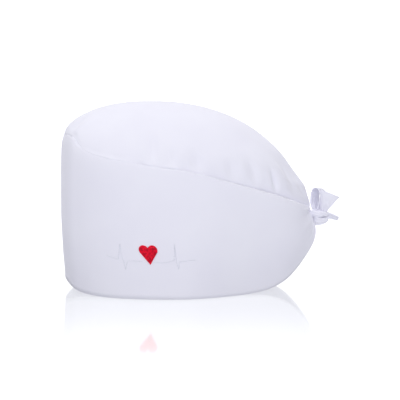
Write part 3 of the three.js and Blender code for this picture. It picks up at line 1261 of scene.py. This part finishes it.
UPPER_LOOP = (
    RibbonRow(-2.4, 119.6, 70.6, 7, (0.7, -0.71, 0), 0, 0.5),
    RibbonRow(-6.0, 118.6, 76.8, 9.6, (0.66, -0.75, 0), 0, 0.4),
    RibbonRow(-9.0, 119.2, 81.8, 11.2, (0.64, -0.77, 0), 0.4, 0.2),
    RibbonRow(-10.2, 119.9, 86.6, 11.4, (0.62, -0.78, 0), 0.4, 0.1),
    RibbonRow(-8.4, 121.7, 90.6, 11.2, (0.66, -0.72, 0.2), 0.2),
    RibbonRow(-5.2, 124.6, 91.2, 11, (0.74, -0.64, 0.2), 0.2),
    RibbonRow(-3.2, 126.6, 87.2, 11, (0.85, -0.53, 0), 0.3, 0.1),
    RibbonRow(-2.4, 126.0, 81.6, 10.8, (0.85, -0.53, 0), 0.2, 0.3),
    RibbonRow(-1.2, 124.8, 77.0, 9.4, (0.8, -0.6, 0), 0, 0.5),
    RibbonRow(0.4, 122.8, 70.8, 7, (0.7, -0.71, 0), 0, 0.5),
)
UPPER_END = (
    RibbonRow(2.8, 126.4, 70.4, 7.2, (0.3, 0.95, 0), 0.6, 0.7),
    RibbonRow(4.4, 128.2, 76.0, 10.6, (0.15, 0.97, -0.15), 1.2, 0.6),
    RibbonRow(5.2, 130.0, 80.2, 13.6, (0.05, 0.94, -0.3), 1.6, 0.4),
    RibbonRow(5.6, 131.5, 84.0, 16.8, (-0.05, 0.9, -0.43), 1.8, 0.2),
    RibbonRow(5.6, 133.2, 88.1, 20.4, (-0.08, 0.878, -0.472), 1.5, 0.1),
)
LOWER_LOOP = (
    RibbonRow(2.4, 117.0, 63.4, 6.6, (0.2, 0.1, 0.97), 0, 0.3),
    RibbonRow(4.6, 119.8, 61.6, 8.6, (0.25, 0.2, 0.95), -0.5, 0.4),
    RibbonRow(4.8, 125.0, 61.2, 7.0, (0.3, 0.05, 0.95), -0.5, 0.3),
    RibbonRow(3.2, 130.0, 62.4, 5.4, (0.3, 0, 0.95), -0.2),
    RibbonRow(-0.2, 131.6, 63.4, 4.8, (0.1, 0.25, 0.96)),
    RibbonRow(-3.4, 128.8, 63.4, 5.4, (-0.1, 0, 0.99), 0, 0.2),
    RibbonRow(-4.2, 123.8, 63.4, 6.4, (-0.15, 0, 0.98), 0, 0.3),
    RibbonRow(-2.4, 118.6, 64.4, 6, (0, 0, 1), 0, 0.4),
)
LOWER_END = (
    RibbonRow(0.8, 127.6, 68.4, 6.4, (0.5, 0.2, 0.84), 0.4, 0.4),
    RibbonRow(1.4, 132.6, 66.7, 6.8, (0.5, 0.22, 0.84), 0.5, 0.3),
    RibbonRow(1.8, 137.0, 65.3, 6.2, (0.6, 0.2, 0.77), 0.5, 0.2),
    RibbonRow(2.0, 141.4, 63.9, 5.6, (0.72, 0.16, 0.67), 0.4),
)
KNOT_STRAND = (
    RibbonRow(2.6, 111.4, 69.2, 6.5, (0.2, 0, 1), -0.6, 0.3),
    RibbonRow(5.2, 116.2, 68.7, 5.8, (0.1, 0, 1), -0.8, 0.4),
    RibbonRow(6.2, 121.4, 68.1, 5.6, (0.05, 0.05, 1), -0.9, 0.3),
    RibbonRow(5.4, 126.4, 68.0, 5.6, (0.2, 0.1, 1), -0.7, 0.3),
    RibbonRow(2.8, 131.0, 67.0, 5.8, (0.5, 0.2, 0.84), -0.4, 0.4),
)


@dataclass
class TieCloth:
    """The tie: two flat strips of doubled cotton in one small knot, with two loops and two cut ends."""

    form: CapForm
    cotton: bpy.types.Material
    thickness: float = 1.5
    faces_round: int = 28
    faces_along: int = 64
    # The strip is pressed flat, with its two folded edges still round
    fold_bluntness: float = 0.6
    # Small creases: how far their ripple runs along the whole strip and from its middle to its edge
    crease_spacing: float = 6.5
    crease_depth: float = 0.22
    crease_run: tuple[float, float] = (40.0, 6.0)
    # Pleats: how far their wave turns along the whole strip and from its middle to its edge, in radians
    pleat_turn: tuple[float, float] = (3.0, 7.5)
    # The open mouth of a cut end: the width of its rim and how far it goes in
    mouth_rim: float = 0.45
    mouth_depth: float = 0.9
    # The flat strip is this much wider than it lies here, and 10 mm or more each way
    flat_share: float = 1.15
    least_flat: float = 10.0
    knot_middle: tuple[float, float, float] = (0.0, 122.1, 68.2)
    knot_radius: tuple[float, float, float] = (5.4, 7.4, 3.8)
    knot_bluntness: float = 0.55
    # The knot's wound folds: how many round it, how far they turn along it and their depth
    knot_folds: tuple[tuple[float, float, float], ...] = ((5, 2.6, 0.07), (11, -4, 0.03))
    knot_girth: float = 5.0

    def ribbon(
        self,
        name: str,
        rows: Sequence[RibbonRow],
        stands_for: Sequence[str],
        cut: bool,
        seed: int,
    ) -> bpy.types.Object:
        """Builds one strip of doubled cloth.

        Args:
            name: The piece's name.
            rows: Its places, in order.
            stands_for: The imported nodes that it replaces.
            cut: Whether its far end is cut off and open.
            seed: Chooses its small creases.

        Returns:
            The strip.
        """
        path = SmoothLine(np.array([(row.x, row.y, row.z) for row in rows], float))
        sides = SmoothLine(np.array([row.across for row in rows], float))
        sizes = SmoothLine(np.array([(row.width, row.cup, row.pleat) for row in rows], float))
        bm = bmesh.new()
        verts, around, along = grid_mesh(bm, self.faces_round, self.faces_along)
        run = path.tangent(along)
        side = sides.at(along)
        side = unit(side - run * (side * run).sum(axis=1, keepdims=True))
        face = unit(np.cross(run, side))
        width, cup, pleat = sizes.at(along).T
        turn = around * 2 * np.pi
        share = np.cos(turn)
        half = blunt(np.sin(turn), self.fold_bluntness) * self.thickness / 2
        crease = Ripple(self.crease_spacing, self.crease_depth, seed)
        lift = (
            cup * share**2
            + pleat * np.cos(share * self.pleat_turn[1] + along * self.pleat_turn[0])
            + crease.at(along * self.crease_run[0] + share * self.crease_run[1])
        )
        points = path.at(along) + side * (share * width / 2)[:, None] + face * (half + lift)[:, None]
        length = path.length(places=400)
        move_to(verts, self.form.place(points))
        write_threads(bm, verts, share * width / 2 * MM, along * length * MM)
        bmesh.ops.remove_doubles(bm, verts=bm.verts, dist=1e-6)
        rims = [edge for edge in bm.edges if edge.is_boundary]
        ends = bmesh.ops.holes_fill(bm, edges=rims, sides=0)["faces"]
        bmesh.ops.recalc_face_normals(bm, faces=bm.faces)
        if cut:
            tip = Vector(self.form.place(path.at(np.array([1.0])))[0])
            last = min(ends, key=lambda end: (end.calc_center_median() - tip).length)
            rim, depth = self.mouth_rim * MM, -self.mouth_depth * MM
            bmesh.ops.inset_region(bm, faces=[last], thickness=rim, depth=depth)
        piece = finish_piece(bm, name, self.cotton, stands_for)
        return piece

    def knot(self) -> bpy.types.Object:
        """Builds the knot's body, wound across itself.

        Returns:
            The knot.
        """
        bm = bmesh.new()
        bmesh.ops.create_uvsphere(bm, u_segments=64, v_segments=40, radius=1)
        ball = np.array([vert.co for vert in bm.verts])
        ball[:, 1] = blunt(ball[:, 1], self.knot_bluntness)
        angle = np.arctan2(ball[:, 2], ball[:, 0])
        folds = np.ones_like(angle)
        for count, wind, depth in self.knot_folds:
            folds += depth * np.cos(angle * count + ball[:, 1] * wind)
        points = ball * np.array(self.knot_radius) * np.stack([folds, np.ones_like(folds), folds], axis=1)
        points = points + np.array(self.knot_middle)
        move_to(list(bm.verts), self.form.place(points))
        write_threads(bm, list(bm.verts), angle * self.knot_girth * MM, points[:, 1] * MM)
        return finish_piece(bm, "tie_knot_cloth", self.cotton, ["tie_knot"])

    def build(self) -> None:
        """Builds the knot, its strand, the loops and the ends."""
        self.knot()
        self.ribbon("tie_knot_strand", KNOT_STRAND, (), cut=False, seed=3)
        self.ribbon("tie_upper_loop_cloth", UPPER_LOOP, ("tie_upper_loop",), cut=False, seed=4)
        self.ribbon("tie_upper_end_cloth", UPPER_END, ("tie_upper_end",), cut=True, seed=5)
        self.ribbon("tie_lower_loop_cloth", LOWER_LOOP, ("tie_lower_loop",), cut=False, seed=6)
        self.ribbon("tie_lower_end_cloth", LOWER_END, ("tie_lower_end",), cut=True, seed=7)


@dataclass
class StitchBed:
    """Lays many small thread stitches into one mesh, each a copy of one rounded six-sided stitch."""

    sides: int = 6
    cuts: int = 5
    # The stitch is flatter than wide, bows up from the cloth and narrows at both ends to a blunt tip
    flatness: float = 0.8
    bow_bluntness: float = 0.6
    end_sharpness: int = 5
    tip_share: float = 0.06
    stitches: list[Array] = field(init=False, default_factory=list)

    def __post_init__(self) -> None:
        """Makes the stitch that is copied: a rod along Z from -0.5 to 0.5 with a radius of 1."""
        bm = bmesh.new()
        bmesh.ops.create_cone(bm, cap_ends=True, segments=self.sides, radius1=1, radius2=1, depth=1)
        long_edges = [edge for edge in bm.edges if abs(edge.verts[0].co.z - edge.verts[1].co.z) > 0.5]
        bmesh.ops.subdivide_edges(bm, edges=long_edges, cuts=self.cuts)
        self.rod = bpy.data.meshes.new("stitch")
        bm.to_mesh(self.rod)
        bm.free()
        place = np.array([vert.co for vert in self.rod.vertices])
        self.share = place[:, 2] + 0.5
        self.ring = place[:, :2]

    def lay(self, start: Array, end: Array, out: Array, radius: float, arch: float) -> None:
        """Lays one stitch.

        Args:
            start: Its first end, on the cloth.
            end: Its other end, on the cloth.
            out: The unit direction out of the cloth.
            radius: The thread's radius.
            arch: How far the middle of the stitch stands up.
        """
        side = np.cross(out, end - start)
        side /= np.linalg.norm(side)
        bow = arch * np.sin(np.pi * self.share) ** self.bow_bluntness
        narrowing = 1 - np.abs(2 * self.share - 1) ** self.end_sharpness
        round_off = np.sqrt(np.clip(narrowing, self.tip_share, 1)) * radius
        middle = start + (end - start) * self.share[:, None] + out * bow[:, None]
        ring = side * self.ring[:, :1] + out * self.ring[:, 1:] * self.flatness
        self.stitches.append(middle + ring * round_off[:, None])

    def mesh(self, form: CapForm) -> bmesh.types.BMesh:
        """Gives all the stitches as one mesh in the frame's place.

        Args:
            form: The cap's form, for the frame's shift.

        Returns:
            The mesh.
        """
        bm = bmesh.new()
        for _ in self.stitches:
            bm.from_mesh(self.rod)
        move_to(list(bm.verts), form.place(np.vstack(self.stitches)))
        bmesh.ops.recalc_face_normals(bm, faces=bm.faces)
        bpy.data.meshes.remove(self.rod)
        return bm


@dataclass
class Embroidery:
    """The red heart in filled stitch and the thin grey heartbeat line on both sides of it."""

    form: CapForm
    band: BandCloth
    middle_y: float = -35.4
    middle_z: float = 40.4
    width: float = 17.0
    # The heart is two arcs on two straight sides: their radius and their middles' height over the point,
    # as shares of its width
    arc_share: float = 0.26
    arc_height: float = 0.783
    arc_steps: int = 80
    side_steps: int = 30
    lean: float = math.radians(9.0)
    # The underlay stands out of the cloth, least at its edge
    pad_faces: int = 36
    pad_thickness: float = 0.5
    pad_edge: float = 0.1
    pad_height: float = 0.75
    # The rows of filled stitches cross a square that holds the heart
    fill_reach: float = 0.75
    fill_steps: int = 400
    fill_inset: float = 0.1
    stitch_angle: float = math.radians(62)
    row_spacing: float = 0.5
    stitch_length: float = 3.4
    least_stitch: float = 0.9
    thread_radius: float = 0.33
    thread_arch: float = 0.16
    line_radius: float = 0.28
    line_stitch: float = 2.4
    line_arch: float = 0.22
    # The search for a place on the band starts at this section and height and takes this many steps
    search_start: tuple[float, float] = (LAST_SECTION / 3, 0.3)
    search_steps: int = 12
    # The line's corners, level and upright from the heart's middle
    line_before: tuple[tuple[float, float], ...] = (
        (-39.1, -1.5),
        (-34.6, -2.9),
        (-31, -3.8),
        (-27.8, -4.7),
        (-26.5, 10.3),
        (-24.7, -1.1),
        (-22.8, -6.5),
        (-21, -13.8),
        (-19.2, -5.6),
        (-5.2, -5.6),
    )
    line_after: tuple[tuple[float, float], ...] = (
        (4.6, -6.5),
        (10.6, -7),
        (16.9, -6.5),
        (22.8, -4.7),
        (23.2, 10.3),
        (25, -6.5),
        (26.8, -12.9),
        (27.7, -6.1),
        (35, -5.2),
        (42.2, -4.7),
    )

    def onto(self, across: Array, up: Array) -> tuple[Array, Array]:
        """Finds the dressed band at places beside the heart's middle.

        Args:
            across: Level distances from the heart's middle.
            up: Upright distances from it.

        Returns:
            The points on the cloth and the directions out of it.
        """
        section = np.full(np.shape(across), self.search_start[0])
        height = np.full(np.shape(across), self.search_start[1])
        step = 0.01
        for _ in range(self.search_steps):
            here = self.form.band_skin(section, height)
            by_section = (self.form.band_skin(section + step, height) - here) / step
            by_height = (self.form.band_skin(section, height + step) - here) / step
            area = by_section[:, 1] * by_height[:, 2] - by_section[:, 2] * by_height[:, 1]
            miss_y = self.middle_y + across - here[:, 1]
            miss_z = self.middle_z + up - here[:, 2]
            section = section + (miss_y * by_height[:, 2] - miss_z * by_height[:, 1]) / area
            height = height + (by_section[:, 1] * miss_z - by_section[:, 2] * miss_y) / area
        return self.band.skin(section, height), self.form.normal(self.form.band_skin, section, height)

    def outline(self, angle: Array) -> Array:
        """Gives how far the heart's edge is from its middle at each angle round it.

        Args:
            angle: Angles from the heart's point.

        Returns:
            A distance for each.
        """
        radius = self.arc_share * self.width
        offset = self.width / 2 - radius
        rise = self.arc_height * self.width
        height = rise + radius
        start = math.atan2(-rise, -offset) + math.acos(radius / math.hypot(offset, rise))
        end = math.pi - math.acos(offset / radius)
        turn = np.linspace(start, end, self.arc_steps)
        x = offset + radius * np.cos(turn)
        y = rise - height / 2 + radius * np.sin(turn)
        straight = np.linspace(0, 1, self.side_steps)[:-1]
        x = np.concatenate([straight * x[0], x])
        y = np.concatenate([-height / 2 + straight * (y[0] + height / 2), y])
        seen = np.arctan2(x, -y)
        return np.interp(np.abs(np.arctan2(np.sin(angle), np.cos(angle))), seen, np.hypot(x, y))

    def leaned(self, x: Array, y: Array) -> tuple[Array, Array]:
        """Leans the heart's own coordinates, so that its point is to one side and its lobes stay level."""
        return x - y * math.tan(self.lean), y

    def padding(self, share: Array) -> Array:
        """Gives how far the underlay stands out at shares of the way from its middle to its edge."""
        return self.pad_edge + self.pad_height * np.sqrt(np.clip(1 - share**5, 0, 1))

    def pad(self, red: bpy.types.Material) -> bpy.types.Object:
        """Builds the underlay that the filled stitches lie on.

        Args:
            red: The heart's thread.

        Returns:
            The underlay.
        """
        bm = bmesh.new()
        verts, radius, angle = disc_mesh(bm, self.pad_faces)
        reach = self.outline(angle) * radius
        across, up = self.leaned(reach * np.sin(angle), -reach * np.cos(angle))
        points, out = self.onto(across, up)
        move_to(verts, self.form.place(points + out * self.padding(radius)[:, None]))
        write_threads(bm, verts, across * MM, up * MM)
        bmesh.ops.recalc_face_normals(bm, faces=bm.faces)
        if sum(face.normal.x for face in bm.faces) < 0:
            bmesh.ops.reverse_faces(bm, faces=bm.faces)
        piece = finish_piece(bm, "heart_underlay", red, ["embroidered_heart"])
        thicken(piece, self.pad_thickness)
        return piece

    def rows(self) -> tuple[Array, Array]:
        """Lays out the heart's rows of stitches on its own coordinates, staggered from row to row.

        Returns:
            Where the stitches start and where they end, a row each.
        """
        run = np.array([math.cos(self.stitch_angle), math.sin(self.stitch_angle)])
        beside = np.array([-run[1], run[0]])
        reach = self.width * self.fill_reach
        steps = np.linspace(-reach, reach, self.fill_steps)
        starts, ends = [], []
        for row, offset in enumerate(np.arange(-reach, reach, self.row_spacing)):
            x, y = beside[:, None] * offset + run[:, None] * steps
            inside = np.hypot(x, y) < self.outline(np.arctan2(x, -y)) - self.fill_inset
            flips = np.flatnonzero(np.diff(np.concatenate([[0], inside.astype(int), [0]])))
            stagger = (row % 3) / 3 * self.stitch_length
            cuts = np.arange(-reach + stagger, reach, self.stitch_length)
            for first, last in zip(flips[::2], flips[1::2]):
                low, high = steps[first], steps[min(last, len(steps) - 1)]
                kept = cuts[(low + self.least_stitch < cuts) & (cuts < high - self.least_stitch)]
                marks = [low, *kept, high]
                for a, b in zip(marks, marks[1:]):
                    starts.append(beside * offset + run * a)
                    ends.append(beside * offset + run * b)
        return np.array(starts), np.array(ends)

    def onto_pad(self, place: Array) -> tuple[Array, Array]:
        """Finds the top of the underlay at places on the heart's own coordinates.

        Args:
            place: The places, a row each.

        Returns:
            The points on the underlay and the directions out of it.
        """
        x, y = place.T
        points, out = self.onto(*self.leaned(x, y))
        share = np.hypot(x, y) / self.outline(np.arctan2(x, -y))
        return points + out * self.padding(share)[:, None], out

    def fill(self, red: bpy.types.Material) -> bpy.types.Object:
        """Builds the heart's filled stitches.

        Args:
            red: The heart's thread.

        Returns:
            The stitches.
        """
        bed = StitchBed()
        first, last = self.rows()
        starts, outs = self.onto_pad(first)
        ends, _ = self.onto_pad(last)
        for start, end, out in zip(starts, ends, outs):
            bed.lay(start, end, out, self.thread_radius, self.thread_arch)
        return finish_piece(bed.mesh(self.form), "heart_stitches", red)

    def line(
        self,
        name: str,
        corners: Sequence[tuple[float, float]],
        grey: bpy.types.Material,
    ) -> bpy.types.Object:
        """Builds one side of the heartbeat line as a run of stitches.

        Args:
            name: The piece's name.
            corners: The line's corners, level and upright from the heart's middle.
            grey: The line's thread.

        Returns:
            The stitches.
        """
        bed = StitchBed()
        for low, high in zip(corners, corners[1:]):
            length = math.dist(low, high)
            count = max(1, round(length / self.line_stitch))
            marks = np.linspace(0, 1, count + 1)
            across = low[0] + (high[0] - low[0]) * marks
            up = low[1] + (high[1] - low[1]) * marks
            points, outs = self.onto(across, up)
            for a, b, out in zip(points, points[1:], outs):
                bed.lay(a, b, out, self.line_radius, self.line_arch)
        return finish_piece(bed.mesh(self.form), name, grey)

    def build(self) -> None:
        """Builds the heart and the line on both sides of it."""
        red = RED_RAYON.build("red_rayon_thread")
        grey = GREY_RAYON.build("grey_rayon_thread")
        self.pad(red)
        self.fill(red)
        self.line("heartbeat_line_front", self.line_before, grey)
        self.line("heartbeat_line_back", self.line_after, grey)


@dataclass(frozen=True)
class SoftLight:
    """A soft round patch of light, by its elevation and its bearing from the camera's side in degrees."""

    elevation: float
    bearing: float
    strength: float

    @property
    def direction(self) -> tuple[float, float, float]:
        """The direction towards its middle.

        Returns:
            A unit direction in the frame.
        """
        level = math.cos(math.radians(self.elevation))
        turn = math.radians(self.bearing)
        return level * math.cos(turn), level * math.sin(turn), math.sin(math.radians(self.elevation))


@dataclass
class Studio:
    """The photograph's setting: a white shining floor lit from below, and soft light all round."""

    form: CapForm
    lights: tuple[SoftLight, ...] = (
        SoftLight(90, 0, 0.56),
        SoftLight(75, -90, 2.04),
        SoftLight(50, 180, 2.27),
        SoftLight(30, 0, 1.04),
        SoftLight(15, 0, 1.25),
        SoftLight(15, 45, 0.86),
        SoftLight(5, -50, 0.1),
        SoftLight(2, 180, 1.1),
    )
    # The higher this power of the angle's cosine, the smaller each patch
    light_spread: float = 10.0
    even_light: float = 0.16
    distance: float = 1800.0
    pitch: float = math.radians(6.4)
    target: tuple[float, float, float] = (0.0, 10.7, 81.0)
    lens: float = 171.8
    sensor: float = 36.0
    # The floor and the lamp are in metres
    floor_size: float = 12.0
    lamp_size: float = 0.5
    lamp_energy: float = 0.6
    lamp_place: tuple[float, float, float] = (1.1, -0.5, 1.2)
    lamp_target: tuple[float, float, float] = (0.0, 0.0, 0.09)

    def build(self) -> None:
        """Builds the floor, the surround, the lamp and the camera."""
        self.build_floor()
        self.build_world()
        self.build_lamp()
        self.build_camera()
        bpy.context.scene.view_settings.view_transform = "Standard"

    def build_floor(self) -> None:
        """Lays the floor under the hem."""
        bm = bmesh.new()
        bmesh.ops.create_grid(bm, x_segments=1, y_segments=1, size=self.floor_size / 2)
        mesh = bpy.data.meshes.new("floor")
        bm.to_mesh(mesh)
        bm.free()
        mesh.materials.append(LitAcrylic().build("lit_white_acrylic"))
        floor = bpy.data.objects.new("floor", mesh)
        bpy.context.scene.collection.objects.link(floor)

    def build_world(self) -> None:
        """Makes the surround: an even dim light with the soft patches added to it."""
        world = bpy.data.worlds.new("surround")
        world.use_nodes = True
        tree = world.node_tree
        tree.nodes.clear()
        place = add_node(tree, "ShaderNodeTexCoord")
        total: bpy.types.NodeSocket | float = self.even_light
        for light in self.lights:
            facing = add_node(
                tree,
                "ShaderNodeVectorMath",
                settings={"operation": "DOT_PRODUCT"},
                inputs={0: place.outputs["Generated"], 1: light.direction},
            )
            near = add_node(
                tree,
                "ShaderNodeMath",
                settings={"operation": "MAXIMUM"},
                inputs={0: facing.outputs["Value"], 1: 0.0},
            )
            patch = add_node(
                tree,
                "ShaderNodeMath",
                settings={"operation": "POWER"},
                inputs={0: near.outputs[0], 1: self.light_spread},
            )
            total = add_node(
                tree,
                "ShaderNodeMath",
                settings={"operation": "MULTIPLY_ADD"},
                inputs={0: patch.outputs[0], 1: light.strength, 2: total},
            ).outputs[0]
        glow = add_node(tree, "ShaderNodeBackground", inputs={"Strength": total, "Color": linear("#FFFFFF")})
        add_node(tree, "ShaderNodeOutputWorld", inputs={"Surface": glow.outputs[0]})
        bpy.context.scene.world = world

    def build_lamp(self) -> None:
        """Hangs a weak lamp above the camera's side, for the small glints of the thread."""
        data = bpy.data.lights.new("lamp_above", "AREA")
        data.shape = "SQUARE"
        data.size = self.lamp_size
        data.energy = self.lamp_energy
        lamp = bpy.data.objects.new("lamp_above", data)
        lamp.location = self.lamp_place
        aim = Vector(self.lamp_target) - lamp.location
        lamp.rotation_euler = aim.to_track_quat("-Z", "Y").to_euler()
        bpy.context.scene.collection.objects.link(lamp)

    def build_camera(self) -> None:
        """Places the camera at the photograph's view: level with the side, from a little above."""
        data = bpy.data.cameras.new("camera")
        data.lens = self.lens
        data.sensor_width = self.sensor
        camera = bpy.data.objects.new("camera", data)
        target = Vector(self.form.place(np.array(self.target)))
        back = Vector((math.cos(self.pitch), 0.0, math.sin(self.pitch)))
        camera.location = target + back * (self.distance * MM)
        camera.rotation_euler = (-back).to_track_quat("-Z", "Y").to_euler()
        bpy.context.scene.collection.objects.link(camera)
        bpy.context.scene.camera = camera


def main() -> None:
    """Builds the cap piece by piece and reports each one."""
    logging.basicConfig(level=logging.INFO, format="%(name)s: %(message)s")
    cotton = WovenCotton().build("bleached_cotton_poplin")
    form = CapForm()
    band = BandCloth(form, cotton)
    band.build()
    CrownCloth(form, cotton).build()
    TieCloth(form, cotton).build()
    Embroidery(form, band).build()
    Studio(form).build()


if __name__ == "__main__":
    main()
